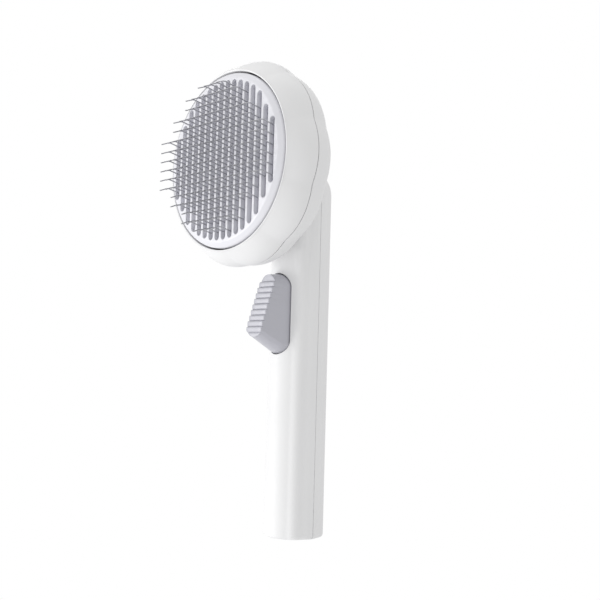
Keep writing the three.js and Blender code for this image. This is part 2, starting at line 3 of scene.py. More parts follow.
import bmesh
import bpy
import numpy as np
from mathutils import Matrix, Vector


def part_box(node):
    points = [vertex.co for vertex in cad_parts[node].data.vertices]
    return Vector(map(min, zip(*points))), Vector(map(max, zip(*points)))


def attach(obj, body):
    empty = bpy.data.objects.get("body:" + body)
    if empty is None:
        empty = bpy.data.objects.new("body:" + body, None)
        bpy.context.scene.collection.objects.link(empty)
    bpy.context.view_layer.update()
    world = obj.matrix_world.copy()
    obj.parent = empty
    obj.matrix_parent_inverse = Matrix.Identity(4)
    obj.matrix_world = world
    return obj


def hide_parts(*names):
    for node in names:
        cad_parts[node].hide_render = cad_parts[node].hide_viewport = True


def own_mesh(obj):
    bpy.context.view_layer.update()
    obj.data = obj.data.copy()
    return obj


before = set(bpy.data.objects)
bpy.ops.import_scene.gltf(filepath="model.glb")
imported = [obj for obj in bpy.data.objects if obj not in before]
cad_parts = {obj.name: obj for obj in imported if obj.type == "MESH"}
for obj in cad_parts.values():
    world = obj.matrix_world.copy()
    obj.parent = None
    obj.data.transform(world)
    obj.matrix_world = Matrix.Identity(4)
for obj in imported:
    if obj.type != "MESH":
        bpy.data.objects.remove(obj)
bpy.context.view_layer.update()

MM = 0.001
GAP = 0.3
SEAM_GAP = 0.18


def span(node):
    """Lowest and highest corner of a CAD node, in millimetres."""
    low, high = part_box(node)
    return [value / MM for value in low], [value / MM for value in high]


def middle(node, axis):
    low, high = span(node)
    return (low[axis] + high[axis]) / 2


# Places and sizes read from the frame
HEAD_LOW, HEAD_HIGH = span("head_front_shell")
HEAD_Z = (HEAD_LOW[2] + HEAD_HIGH[2]) / 2
HEAD_RADIUS = (HEAD_HIGH[0] - HEAD_LOW[0]) / 2
HEAD_FRONT = HEAD_LOW[1]
SEAM_FRONT = HEAD_HIGH[1]
SEAM_BACK = SEAM_FRONT + GAP
PLATE_LOW, PLATE_HIGH = span("stripper_plate")
PLATE_RADIUS = (PLATE_HIGH[0] - PLATE_LOW[0]) / 2
PLATE_FRONT = PLATE_LOW[1]
SKIRT_END = PLATE_HIGH[1]
BED_LOW, BED_HIGH = span("pin_bed")
BED_RADIUS = (BED_HIGH[0] - BED_LOW[0]) / 2
BED_FRONT = BED_LOW[1]
BACKING_LOW, BACKING_HIGH = span("pin_backing_plate")
PUSHER_LOW, PUSHER_HIGH = span("pusher_carrier")
HANDLE_HIGH = span("handle_front_shell")[1]
HANDLE_HALF_WIDTH = HANDLE_HIGH[0]
HANDLE_TOP = HANDLE_HIGH[2]
PIVOT_Z = middle("trigger_pivot_pin", 2)
PIVOT_LOW, PIVOT_HIGH = span("trigger_pivot_pin")
PIVOT_RADIUS = (PIVOT_HIGH[2] - PIVOT_LOW[2]) / 2
ROWS = [f"pin_row_{number:02d}" for number in range(1, 17)]
ROW_X = [middle(row, 0) for row in ROWS]
PIN_TIP_Y = span(ROWS[0])[0][1]
ROW_BAR_BACK = span(ROWS[0])[1][1]
POSTS = [(middle(f"bed_screw_{i}", 0), middle(f"bed_screw_{i}", 2)) for i in range(1, 5)]
NECK_SCREWS = [(middle(f"neck_screw_{i}", 0), middle(f"neck_screw_{i}", 2)) for i in range(1, 5)]

# Shape details that the frame's boxes don't tell
LOBES = 10
LOBE_DEPTH = 0.03
LOBE_SHARPNESS = 0.9
RIM_RADIUS = 36.45
BORE_RADIUS = 35.85
HEAD_BACK = -12.7
HEAD_BACK_RADIUS = 14
SLOT_WIDTH = 2.8
SLOT_REACH = [32.1, 31.7, 30.7, 29.3, 27.2, 24.1, 18.1, 12.8]
PLATE_RIM = [(2.4, 0), (2.15, 0.04), (1.95, 0.14), (1.7, 0.32), (0.5, 1.3), (0.2, 1.65), (0.05, 2), (0, 2.3)]
PINS_IN_ROW = [16, 16, 14, 14, 10, 10, 6, 6]
PIN_PITCH = 3.85
PIN_RADIUS = 0.25
PIN_BEND_Y = -48.6
PIN_RISE = math.tan(math.radians(12))
PIN_FALL = math.tan(math.radians(21))
FLUTE_GROOVES = [(7, -9.8), (10.7, -5), (10.7, 5), (7, 9.8)]
FLUTE_BULGES = [0.16, 0.145, 0.16, 0.187]
HANDLE_HALF_DEPTH = 12.2
SHOULDER_Z = 141.7
NECK_LOW, NECK_HIGH, NECK_HALF_WIDTH = 127.9, 153.1, 10.4
PEGS = [(0, 15, 10.6), (0, 40, 10.6), (0, 65, 10.6), (-6.6, 120.7, 8.3), (6.6, 120.7, 8.3)]
WINDOW_HIGH, WINDOW_HALF_WIDTH = 108.9, 6.3
WINDOW_LOWS = [(-20, 76.7), (-5, 73.4)]
FOOT_ROUND = 1.7
NECK_FLARE, NECK_DEPTH = 3, 7.6
PIVOT_RIB = (7.2, 10.2)
PIVOT_RIB_HALF_HEIGHT, PIVOT_RIB_DEPTH = 4, 5.4
BEND_HALF_LENGTH = 1.1
COLLAR_FOOT, COLLAR_TOP = 0.85, 0.45
SHOULDER_SQUARENESS = 2.4
POST_RADIUS, NECK_POST_RADIUS = 3, 2.7
SCREW_HOLE_RADIUS = 1.3
PLATE_THICKNESS, BED_THICKNESS, PUSHER_THICKNESS = 2, 2.4, 2
CUP_RADIUS, CUP_BORE, CUP_HOLE = 5.9, 4.7, 3.4
SPRING_RADIUS, SPRING_WIRE, SPRING_TURNS = 4, 0.3, 7


# ---- mesh tools ----

def new_object(name, points, faces):
    mesh = bpy.data.meshes.new(name)
    mesh.from_pydata([tuple(float(value) * MM for value in point) for point in points], [], faces)
    clean = bmesh.new()
    clean.from_mesh(mesh)
    bmesh.ops.remove_doubles(clean, verts=clean.verts, dist=0.0005 * MM)
    bmesh.ops.recalc_face_normals(clean, faces=clean.faces)
    clean.to_mesh(mesh)
    clean.free()
    piece = bpy.data.objects.new(name, mesh)
    bpy.context.scene.collection.objects.link(piece)
    return piece


def grid_faces(rows, columns, wrap_rows, wrap_columns):
    faces = []
    for i in range(rows if wrap_rows else rows - 1):
        for j in range(columns if wrap_columns else columns - 1):
            below, after = (i + 1) % rows, (j + 1) % columns
            row, next_row = i * columns, below * columns
            faces.append((row + j, row + after, next_row + after, next_row + j))
    return faces


def turned(name, profile, sides=200, weights=None, ring=False):
    """A profile of (radius, y) points turned about the head's axis; lobes pull points in by their weights."""
    points = []
    weights = weights or [0] * len(profile)
    for side in range(sides):
        angle = 2 * math.pi * side / sides
        for (radius, y), weight in zip(profile, weights):
            reach = radius * (1 + weight * lobe(angle))
            points.append((reach * math.cos(angle), y, HEAD_Z + reach * math.sin(angle)))
    return new_object(name, points, grid_faces(sides, len(profile), True, ring))


def lobe(angle):
    soft = math.cos(angle * LOBES / 2) ** 2 + 0.012
    return LOBE_DEPTH * (min(soft, 1) ** (LOBE_SHARPNESS / 2) - 1)


def stack(name, outlines):
    """Outlines of the same number of points, one above the other, closed at both ends."""
    count = len(outlines[0])
    points = [point for outline in outlines for point in outline]
    faces = grid_faces(len(outlines), count, False, True)
    faces.append(tuple(range(count)))
    faces.append(tuple(range(len(points) - count, len(points))))
    return new_object(name, points, faces)


def rod_y(x, z, y0, y1, radius, sides=40):
    circle = [2 * math.pi * side / sides for side in range(sides)]
    ends = [[(x + radius * math.cos(a), y, z + radius * math.sin(a)) for a in circle] for y in (y0, y1)]
    return stack("rod", ends)


def rod_x(y, z, half_length, radius, sides=40):
    circle = [2 * math.pi * side / sides for side in range(sides)]
    ends = [
        [(x, y + radius * math.cos(a), z + radius * math.sin(a)) for a in circle]
        for x in (-half_length, half_length)
    ]
    return stack("rod", ends)


def block(xs, ys, zs):
    ends = [[(xs[0], y, zs[0]), (xs[1], y, zs[0]), (xs[1], y, zs[1]), (xs[0], y, zs[1])] for y in ys]
    return stack("block", ends)


def slab(outline, half_width):
    """A side view of (y, z) points made 2 * half_width thick across x."""
    return stack("slab", [[(x, y, z) for y, z in outline] for x in (-half_width, half_width)])


def stadium(x, low, high, half_width, steps=16):
    """(x, z) points round an upright outline with round ends."""
    points = []
    for z, start in ((high - half_width, 0), (low + half_width, math.pi)):
        for step in range(steps + 1):
            angle = start + math.pi * step / steps
            points.append((x + half_width * math.cos(angle), z + half_width * math.sin(angle)))
    return points


def prism_y(outline, y0, y1):
    return stack("prism", [[(x, y, z) for x, z in outline] for y in (y0, y1)])


def settle(piece):
    """Applies the modifiers of a piece to its mesh."""
    bpy.context.view_layer.update()
    graph = bpy.context.evaluated_depsgraph_get()
    mesh = bpy.data.meshes.new_from_object(piece.evaluated_get(graph))
    piece.modifiers.clear()
    piece.data = mesh
    return piece


def gathered(pieces):
    """Separate pieces as one object."""
    whole = bmesh.new()
    for piece in pieces:
        whole.from_mesh(piece.data)
        bpy.data.objects.remove(piece)
    mesh = bpy.data.meshes.new("gathered")
    whole.to_mesh(mesh)
    whole.free()
    result = bpy.data.objects.new("gathered", mesh)
    bpy.context.scene.collection.objects.link(result)
    return result


def combine(piece, tools, operation):
    tool = gathered(tools) if len(tools) > 1 else tools[0]
    change = piece.modifiers.new("change", "BOOLEAN")
    change.solver = "EXACT"
    change.operation = operation
    change.use_self = True
    change.object = tool
    settle(piece)
    bpy.data.objects.remove(tool)
    return piece


def cut(piece, tools):
    return combine(piece, tools, "DIFFERENCE")


def add(piece, tools):
    return combine(piece, tools, "UNION")


def ease(piece, width, angle=60, segments=2):
    """Rounds the edges that are sharper than the angle."""
    bevel = piece.modifiers.new("ease", "BEVEL")
    bevel.width = width * MM
    bevel.segments = segments
    bevel.limit_method = "ANGLE"
    bevel.angle_limit = math.radians(angle)
    bevel.use_clamp_overlap = True
    return settle(piece)


def smooth(piece, angle=32):
    mesh = piece.data
    mesh.polygons.foreach_set("use_smooth", [True] * len(mesh.polygons))
    mesh.set_sharp_from_angle(angle=math.radians(angle))
    normals = piece.modifiers.new("normals", "WEIGHTED_NORMAL")
    normals.keep_sharp = True
    return piece


def finished(piece, name, node, body, material, angle=32):
    """Names a piece, gives it its material and puts it on its body in place of its CAD node."""
    piece.name = name
    piece.data.name = name
    piece.data.materials.clear()
    piece.data.materials.append(material)
    smooth(piece, angle)
    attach(piece, body)
    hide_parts(node)
    return piece


# ---- materials ----

class Nodes:
    """A small helper that adds and links shader nodes."""

    def __init__(self, name):
        self.material = bpy.data.materials.new(name)
        self.material.use_nodes = True
        self.tree = self.material.node_tree
        self.shader = self.tree.nodes["Principled BSDF"]
        self.coordinates = self.tree.nodes.new("ShaderNodeTexCoord").outputs["Object"]

    def noise(self, scale, detail=3, stretch=(1, 1, 1)):
        mapping = self.tree.nodes.new("ShaderNodeMapping")
        mapping.inputs["Scale"].default_value = stretch
        texture = self.tree.nodes.new("ShaderNodeTexNoise")
        texture.inputs["Scale"].default_value = scale
        texture.inputs["Detail"].default_value = detail
        self.tree.links.new(self.coordinates, mapping.inputs["Vector"])
        self.tree.links.new(mapping.outputs["Vector"], texture.inputs["Vector"])
        return texture.outputs["Fac"]

    def ramp(self, value, low, high):
        ramp = self.tree.nodes.new("ShaderNodeMapRange")
        ramp.inputs["From Min"].default_value = 0.3
        ramp.inputs["From Max"].default_value = 0.7
        ramp.inputs["To Min"].default_value = low
        ramp.inputs["To Max"].default_value = high
        self.tree.links.new(value, ramp.inputs["Value"])
        return ramp.outputs["Result"]

    def colours(self, value, first, second):
        ramp = self.tree.nodes.new("ShaderNodeValToRGB")
        ramp.color_ramp.elements[0].position = 0.3
        ramp.color_ramp.elements[0].color = (*first, 1)
        ramp.color_ramp.elements[1].position = 0.7
        ramp.color_ramp.elements[1].color = (*second, 1)
        self.tree.links.new(value, ramp.inputs["Fac"])
        self.tree.links.new(ramp.outputs["Color"], self.shader.inputs["Base Color"])

    def bump(self, value, strength, distance, under=None):
        bump = self.tree.nodes.new("ShaderNodeBump")
        bump.inputs["Strength"].default_value = strength
        bump.inputs["Distance"].default_value = distance
        self.tree.links.new(value, bump.inputs["Height"])
        if under:
            self.tree.links.new(under, bump.inputs["Normal"])
        return bump.outputs["Normal"]


def plastic(name, colour, rough, texture_depth=0.012):
    """Moulded plastic: fine spark-eroded texture, faint flow marks and a slight change of tone."""
    nodes = Nodes(name)
    shade = tuple(value * 0.972 for value in colour)
    nodes.colours(nodes.noise(26, 4), shade, colour)
    roughness = nodes.ramp(nodes.noise(140, 5), rough - 0.045, rough + 0.045)
    nodes.tree.links.new(roughness, nodes.shader.inputs["Roughness"])
    grain = nodes.bump(nodes.noise(5200, 2), 0.35, texture_depth * MM)
    flow = nodes.bump(nodes.noise(60, 2, (1, 1, 0.35)), 0.12, 0.25 * MM, grain)
    nodes.tree.links.new(flow, nodes.shader.inputs["Normal"])
    nodes.shader.inputs["IOR"].default_value = 1.5
    return nodes.material


def steel(name, colour, rough, stretch):
    """Drawn steel: fine lines along the wire and a changing sheen."""
    nodes = Nodes(name)
    nodes.shader.inputs["Metallic"].default_value = 1
    shade = tuple(value * 0.84 for value in colour)
    nodes.colours(nodes.noise(700, 4), shade, colour)
    roughness = nodes.ramp(nodes.noise(1800, 4, stretch), rough - 0.08, rough + 0.1)
    nodes.tree.links.new(roughness, nodes.shader.inputs["Roughness"])
    lines = nodes.bump(nodes.noise(9000, 2, stretch), 0.3, 0.01 * MM)
    nodes.tree.links.new(lines, nodes.shader.inputs["Normal"])
    return nodes.material


SHELL = plastic("white_shell_plastic", (0.80, 0.80, 0.803), 0.5)
PLATE = plastic("pale_plate_plastic", (0.75, 0.75, 0.788), 0.32)
LILAC = plastic("lilac_trigger_plastic", (0.48, 0.48, 0.525), 0.32)
BED = plastic("grey_bed_plastic", (0.62, 0.62, 0.68), 0.55)
INNER = plastic("grey_inner_plastic", (0.36, 0.37, 0.40), 0.5)
WIRE = steel("drawn_pin_steel", (0.52, 0.52, 0.54), 0.3, (1, 0.08, 0.4))
SPRING = steel("spring_wire_steel", (0.5, 0.5, 0.52), 0.32, (1, 1, 1))
FASTENER = steel("zinc_plated_steel", (0.58, 0.58, 0.6), 0.35, (1, 0.2, 1))


# ---- head ----

def front_arc(turn):
    return (
        RIM_RADIUS + (HEAD_RADIUS - RIM_RADIUS) * math.sin(turn) ** 2.2,
        HEAD_FRONT + (SEAM_FRONT - HEAD_FRONT) * (1 - math.cos(turn)),
    )


def rear_arc(turn):
    return (
        HEAD_BACK_RADIUS + (HEAD_RADIUS - HEAD_BACK_RADIUS) * math.cos(turn) ** 0.84,
        SEAM_BACK + (HEAD_BACK - SEAM_BACK) * math.sin(turn),
    )


def head_front():
    profile = [(BORE_RADIUS, HEAD_FRONT + 0.35), (BORE_RADIUS + 0.1, HEAD_FRONT + 0.12)]
    weights = [0, 0]
    for step in range(37):
        turn = math.radians(90) * step / 36
        profile.append(front_arc(turn))
        weights.append(math.sin(turn))
    radius, y = profile[-1]
    profile[-1] = (radius, y - 0.15)
    profile += [(radius - 0.06, y - 0.04), (radius - 0.2, y)]
    weights += [1, 1]
    inside = [(39.6, y), (39.3, y - 1.8), (39, y - 3.4), (38.5, -35.6), (37.8, -36.8), (36.6, -37.5)]
    profile += [*inside, (BORE_RADIUS, -37.6)]
    weights += [0] * (len(inside) + 1)
    return turned("head_front", profile, 400, weights, ring=True)


def head_rear_dome():
    profile = [(0, HEAD_BACK - 2.1), (12, HEAD_BACK - 2.2), (20, -15.1), (26, -16), (31.5, -18)]
    profile += [(35.2, -20.6)]
    profile += [(37.6, -23.6), (38.9, -26.6), (39.2, -28.4), (37.5, -29), (37.5, -34.2), (37.7, -34.4)]
    profile += [(38.5, -34.4), (38.7, -34.2), (38.9, SEAM_BACK)]
    weights = [0] * len(profile)
    profile += [(HEAD_RADIUS - 0.2, SEAM_BACK), (HEAD_RADIUS - 0.06, SEAM_BACK + 0.04)]
    weights += [1, 1]
    for step in range(49):
        turn = math.radians(90) * step / 48
        radius, y = rear_arc(turn)
        profile.append((radius, y + (0.15 if step == 0 else 0)))
        weights.append(max(math.cos(turn), 0) ** 0.5)
    profile.append((0, HEAD_BACK))
    weights.append(0)
    return turned("head_rear", profile, 400, weights)


def neck():
    """The pad that joins the head to the handle, with a flared foot on the head."""
    outlines = []
    for step in range(13):
        drop = step / 12
        flare = NECK_FLARE * (1 - math.sqrt(1 - (1 - min(drop * 2, 1)) ** 2))
        y = HEAD_BACK - 0.6 + drop * NECK_DEPTH
        ring = stadium(0, NECK_LOW - flare, NECK_HIGH + flare, NECK_HALF_WIDTH + flare, 24)
        outlines.append([(x, y, z) for x, z in ring])
    return cut(stack("neck", outlines), [handle_blank(GAP)])


def head_rear():
    shell = add(head_rear_dome(), [neck()])
    posts = [rod_y(x, z, BACKING_HIGH[1] + GAP, -15.6, POST_RADIUS) for x, z in POSTS]
    neck_posts = [rod_y(x, z, -20.5, -14, NECK_POST_RADIUS) for x, z in NECK_SCREWS]
    add(shell, [*posts, *neck_posts])
    return cut(shell, [
        block((-4, 4), (-24, -4), (139.3, 147.9)),
        *[rod_y(x, z, BACKING_HIGH[1] - 1, -27, SCREW_HOLE_RADIUS, 24) for x, z in POSTS],
        *[rod_y(x, z, -22, -4, SCREW_HOLE_RADIUS, 24) for x, z in NECK_SCREWS],
    ])


# ---- handle ----

def fluted_outline(count=176, softening=2):
    """Evenly spaced (x, y) points round the handle: swelling facets between soft shallow valleys."""
    left = [(-x, y) for x, y in reversed(FLUTE_GROOVES)]
    grooves = [*FLUTE_GROOVES, *left]
    points = []
    for i, (x0, y0) in enumerate(grooves):
        x1, y1 = grooves[(i + 1) % len(grooves)]
        for step in range(60):
            t = step / 60
            swell = FLUTE_BULGES[i % len(FLUTE_BULGES)] * 4 * t * (1 - t)
            across, deep = x1 - x0, y1 - y0
            points.append((x0 + across * t + deep * swell, y0 + deep * t - across * swell))
    closed = np.array([*points, points[0]])
    along = np.concatenate([[0], np.cumsum(np.hypot(*np.diff(closed, axis=0).T))])
    places = np.arange(count) * along[-1] / count
    outline = np.stack([np.interp(places, along, closed[:, axis]) for axis in (0, 1)], axis=1)
    for _ in range(softening):
        outline = (np.roll(outline, 1, axis=0) + 2 * outline + np.roll(outline, -1, axis=0)) / 4
    return outline


def handle_levels(grow):
    """(height, width scale, depth scale) up the handle: a small round at the foot and a domed top."""
    levels = []
    for step in range(7):
        turn = math.radians(90) * step / 6
        inset = FOOT_ROUND * (1 - math.sin(turn))
        levels.append((FOOT_ROUND * (1 - math.cos(turn)) - grow, inset))
    levels += [(height, 0) for height in range(6, int(SHOULDER_Z), 6)]
    wide, deep = HANDLE_HALF_WIDTH, HANDLE_HALF_DEPTH
    rows = [(z, 1 - (inset - grow) / wide, 1 - (inset - grow) / deep) for z, inset in levels]
    top = HANDLE_TOP - SHOULDER_Z
    for step in range(25):
        rise = math.sin(math.radians(89.5) * step / 24)
        scale = (1 - rise ** SHOULDER_SQUARENESS) ** (1 / SHOULDER_SQUARENESS)
        rows.append((SHOULDER_Z + (top + grow) * rise, scale * (1 + grow / wide), scale * (1 + grow / deep)))
    return rows


def handle_blank(grow=0):
    outline = fluted_outline()
    layers = []
    for z, wide, deep in handle_levels(grow):
        layers.append([(x * wide, y * deep, z) for x, y in outline])
    return stack("handle", layers)


def handle_cavity():
    corners = [(0, -9.9), (5.3, -8.6), (8.9, -4.6), (9.9, 0), (8.9, 4.6), (5.3, 8.6), (0, 9.9)]
    corners += [(-x, y) for x, y in reversed(corners[1:-1])]
    layers = []
    for z, scale in ((2.4, 0.94), (3.4, 1), (140, 1), (144, 0.95), (147.5, 0.84), (149.5, 0.7), (151, 0.5)):
        layers.append([(x * scale, y * scale, z) for x, y in corners])
    return stack("cavity", layers)


def half_of(blank, ys):
    half = combine(blank, [block((-20, 20), ys, (-5, HANDLE_TOP + 5))], "INTERSECT")
    return ease(half, 0.13, 55)


def pivot_rib(side, ys):
    """A rib inside the handle that carries one end of the pivot pin."""
    inner, outer = PIVOT_RIB
    zs = (PIVOT_Z - PIVOT_RIB_HALF_HEIGHT, PIVOT_Z + PIVOT_RIB_HALF_HEIGHT)
    return block((side * inner, side * outer), ys, zs)


def handle_front():
    shell = cut(half_of(handle_blank(), (-20, -SEAM_GAP / 2)), [handle_cavity()])
    fittings = [rod_y(x, z, 1.3 - reach if x else -reach, -0.5, 2.8) for x, z, reach in PEGS]
    for side in (-1, 1):
        fittings.append(pivot_rib(side, (-PIVOT_RIB_DEPTH, -GAP / 2)))
        fittings.append(block((side * 3.6, side * 8.4), (-8, -6.4), (128, 139.9)))
    add(shell, fittings)
    window = []
    for y, low in WINDOW_LOWS:
        window.append([(x, y, z) for x, z in stadium(0, low, WINDOW_HIGH, WINDOW_HALF_WIDTH, 28)])
    cut(shell, [stack("window", window)])
    ease(shell, 0.2, 70)
    return cut(shell, [
        block((-4, 4), (-20, -4), (140.2, 147.9)),
        block((-4.3, 4.3), (-4.3, 1), (-1, 3.4)),
        rod_x(0, PIVOT_Z, 10, PIVOT_RADIUS + GAP),
        *[rod_y(x, z, -7, 0.5, 1.8, 28) for x, z, _ in PEGS],
        *[rod_y(x, z, -20, -5, SCREW_HOLE_RADIUS, 28) for x, z in NECK_SCREWS],
    ])


def handle_rear():
    shell = cut(half_of(handle_blank(), (SEAM_GAP / 2, 20)), [handle_cavity()])
    fittings = [rod_y(x, z, -4.5, reach, 1.5, 32) for x, z, reach in PEGS]
    for side in (-1, 1):
        fittings.append(pivot_rib(side, (GAP / 2, PIVOT_RIB_DEPTH)))
    fittings.append(block((-4, 4), (-4, 1), (0, 2.4)))
    add(shell, fittings)
    return cut(shell, [rod_x(0, PIVOT_Z, 10, PIVOT_RADIUS + GAP)])


# ---- stripper plate, bed and pins ----

def from_middle(row):
    return 7 - row if row < 8 else row - 8


def compass(half_width, inside, outside, ys):
    """Four short tongues on the compass points of a disc."""
    across = (HEAD_Z - half_width, HEAD_Z + half_width)
    return [
        block((inside, outside), ys, across),
        block((-outside, -inside), ys, across),
        block((-half_width, half_width), ys, (HEAD_Z + inside, HEAD_Z + outside)),
        block((-half_width, half_width), ys, (HEAD_Z - outside, HEAD_Z - inside)),
    ]


def stripper_plate():
    back = PLATE_FRONT + PLATE_THICKNESS
    rim = [(PLATE_RADIUS - inset, PLATE_FRONT + drop) for inset, drop in PLATE_RIM]
    cup = turned("plate", [
        (0, PLATE_FRONT), *rim, (PLATE_RADIUS, SKIRT_END - 0.2), (PLATE_RADIUS - 0.2, SKIRT_END),
        (PLATE_RADIUS - 1.3, SKIRT_END), (PLATE_RADIUS - 1.5, SKIRT_END - 0.2),
        (PLATE_RADIUS - 1.5, back + 0.6), (PLATE_RADIUS - 1.8, back + 0.1),
        (PLATE_RADIUS - 2.4, back), (0, back),
    ], 360)
    slots = []
    for row, x in enumerate(ROW_X):
        reach = SLOT_REACH[from_middle(row)]
        outline = stadium(x, HEAD_Z - reach, HEAD_Z + reach, SLOT_WIDTH / 2, 14)
        slots.append(prism_y(outline, PLATE_FRONT - 1, back + 1))
    windows = compass(4.3, 31.7, PLATE_RADIUS + 1, (PUSHER_LOW[1] + 0.2, PUSHER_LOW[1] + 1.8))
    return ease(cut(cup, [*slots, *windows]), 0.18, 60)


def pin_places(row):
    count = PINS_IN_ROW[from_middle(row)]
    return [(i - (count - 1) / 2) * PIN_PITCH for i in range(count)]


def pin_path(z):
    """A wire from the bed to its tip, up to the bend and then down, as (y, z) points."""
    bend_z = z + (PLATE_FRONT - PIN_BEND_Y) * PIN_RISE
    slope_in, slope_out = PIN_RISE, -PIN_FALL
    points = []
    for y in (ROW_BAR_BACK - 0.3, BED_FRONT, PLATE_FRONT, PIN_BEND_Y + 1.6):
        points.append((y, bend_z + (PIN_BEND_Y - y) * slope_in))
    for step in range(1, 6):
        t = step / 6
        y = PIN_BEND_Y + BEND_HALF_LENGTH - 2 * BEND_HALF_LENGTH * t
        entry = -BEND_HALF_LENGTH * slope_in * (1 - t) ** 2
        leave = BEND_HALF_LENGTH * slope_out * t ** 2
        points.append((y, bend_z + entry + leave))
    for y in (PIN_BEND_Y - 1.6, PIN_TIP_Y + 0.2):
        points.append((y, bend_z + (PIN_BEND_Y - y) * slope_out))
    points.append((PIN_TIP_Y + 0.05, points[-1][1]))
    return points


def tube(path, x, radius, sides=10):
    """A round wire along a path of (y, z) points in the plane of one x, with eased ends."""
    rings = []
    for i, (y, z) in enumerate(path):
        before, after = path[max(i - 1, 0)], path[min(i + 1, len(path) - 1)]
        along = Vector((after[0] - before[0], after[1] - before[1])).normalized()
        size = radius * (0.55 if i in (0, len(path) - 1) else 1)
        ring = []
        for side in range(sides):
            angle = 2 * math.pi * side / sides
            out = size * math.sin(angle)
            ring.append((x + size * math.cos(angle), y - along.y * out, HEAD_Z + z + along.x * out))
        rings.append(ring)
    return stack("wire", rings)


def pin_row(row):
    x = ROW_X[row]
    wires = [tube(pin_path(z), x, PIN_RADIUS) for z in pin_places(row)]
    reach = pin_places(row)[-1] + 1.8
    bar_z = stadium(x, HEAD_Z - reach, HEAD_Z + reach, PIN_RADIUS, 8)
    return gathered([prism_y(bar_z, ROW_BAR_BACK - 0.9, ROW_BAR_BACK), *wires])


def cone(x, z, y0, y1, radius0, radius1, sides=16):
    circle = [2 * math.pi * side / sides for side in range(sides)]
    rings = [
        [(x + radius * math.cos(a), y, z + radius * math.sin(a)) for a in circle]
        for y, radius in ((y0, radius0), (y1, radius1))
    ]
    return stack("cone", rings)


def pin_bed():
    back = BED_FRONT + BED_THICKNESS
    rim = BED_RADIUS - 0.9
    dish = turned("bed", [
        (0, BED_FRONT), (BED_RADIUS - 0.3, BED_FRONT), (BED_RADIUS, BED_FRONT + 0.3),
        (BED_RADIUS, BED_HIGH[1]), (rim, BED_HIGH[1]), (rim, back + 0.3), (rim - 0.3, back), (0, back),
    ], 240)
    add(dish, compass(4, rim - 1.1, BED_RADIUS - 0.4, (BED_HIGH[1] - 1, BED_HIGH[1])))
    collars, grooves = [], []
    for row, x in enumerate(ROW_X):
        reach = pin_places(row)[-1] + 2.1
        zs = (HEAD_Z - reach, HEAD_Z + reach)
        grooves.append(block((x - 0.55, x + 0.55), (BED_FRONT + 1.2, back + 1), zs))
        for z in pin_places(row):
            foot = HEAD_Z + z - (BED_FRONT - PLATE_FRONT) * PIN_RISE
            collars.append(cone(x, foot, BED_FRONT + 0.2, BED_FRONT - 0.35, COLLAR_FOOT, COLLAR_TOP))
    cut(dish, grooves)
    return gathered([dish, *collars])


def backing_plate():
    front, back = BACKING_LOW[1], BACKING_HIGH[1]
    radius = (BACKING_HIGH[0] - BACKING_LOW[0]) / 2
    disc = ease(rod_y(0, HEAD_Z, front, back, radius, 240), 0.2, 60)
    pockets = [rod_y(x, z, front - 1, front + 1.3, 2.3) for x, z in POSTS]
    return cut(cut(disc, pockets), [rod_y(x, z, front, back + 1, SCREW_HOLE_RADIUS, 28) for x, z in POSTS])


def pusher():
    front, back = PUSHER_LOW[1], PUSHER_LOW[1] + PUSHER_THICKNESS
    cup_back = PUSHER_HIGH[1]
    disc = rod_y(0, HEAD_Z, front, back, BED_RADIUS, 240)
    cups = [rod_y(x, z, front, cup_back, CUP_RADIUS) for x, z in POSTS]
    pad = block((-5, 5), (back - 0.5, back + 1), (HEAD_Z - 14.6, HEAD_Z + 1))
    add(disc, [*cups, pad, *compass(4, BED_RADIUS - 2, PLATE_RADIUS - 0.2, (front + 0.5, back - 0.5))])
    ease(disc, 0.25, 60)
    cut(disc, [rod_y(x, z, front - 1, cup_back - 1, CUP_BORE) for x, z in POSTS])
    return cut(disc, [rod_y(x, z, front, cup_back + 1, CUP_HOLE) for x, z in POSTS])


def coil_spring(number):
    """A helical wire with closed end turns."""
    low, high = span(f"return_spring_{number}")
    x, z = (low[0] + high[0]) / 2, (low[2] + high[2]) / 2
    wire, turns = SPRING_WIRE, SPRING_TURNS
    per_turn, sides = 26, 10
    front, back = low[1] + wire + 0.02, high[1] - wire - 0.02
    steps = turns * per_turn
    rings = []
    for step in range(steps + 1):
        t = step / steps
        rise = min(max((t * turns - 1) / (turns - 2), 0), 1)
        y = front + wire * 2 * min(t * turns, 1) * (1 - rise) + (back - front - 2 * wire) * rise
        y += 2 * wire * min(max(t * turns - (turns - 1), 0), 1) if rise == 1 else 0
        angle = 2 * math.pi * t * turns
        ring = []
        for side in range(sides):
            a = 2 * math.pi * side / sides
            reach = SPRING_RADIUS + wire * math.cos(a)
            ring.append((x + reach * math.cos(angle), y + wire * math.sin(a), z + reach * math.sin(angle)))
        rings.append(ring)
    return stack("spring", rings)


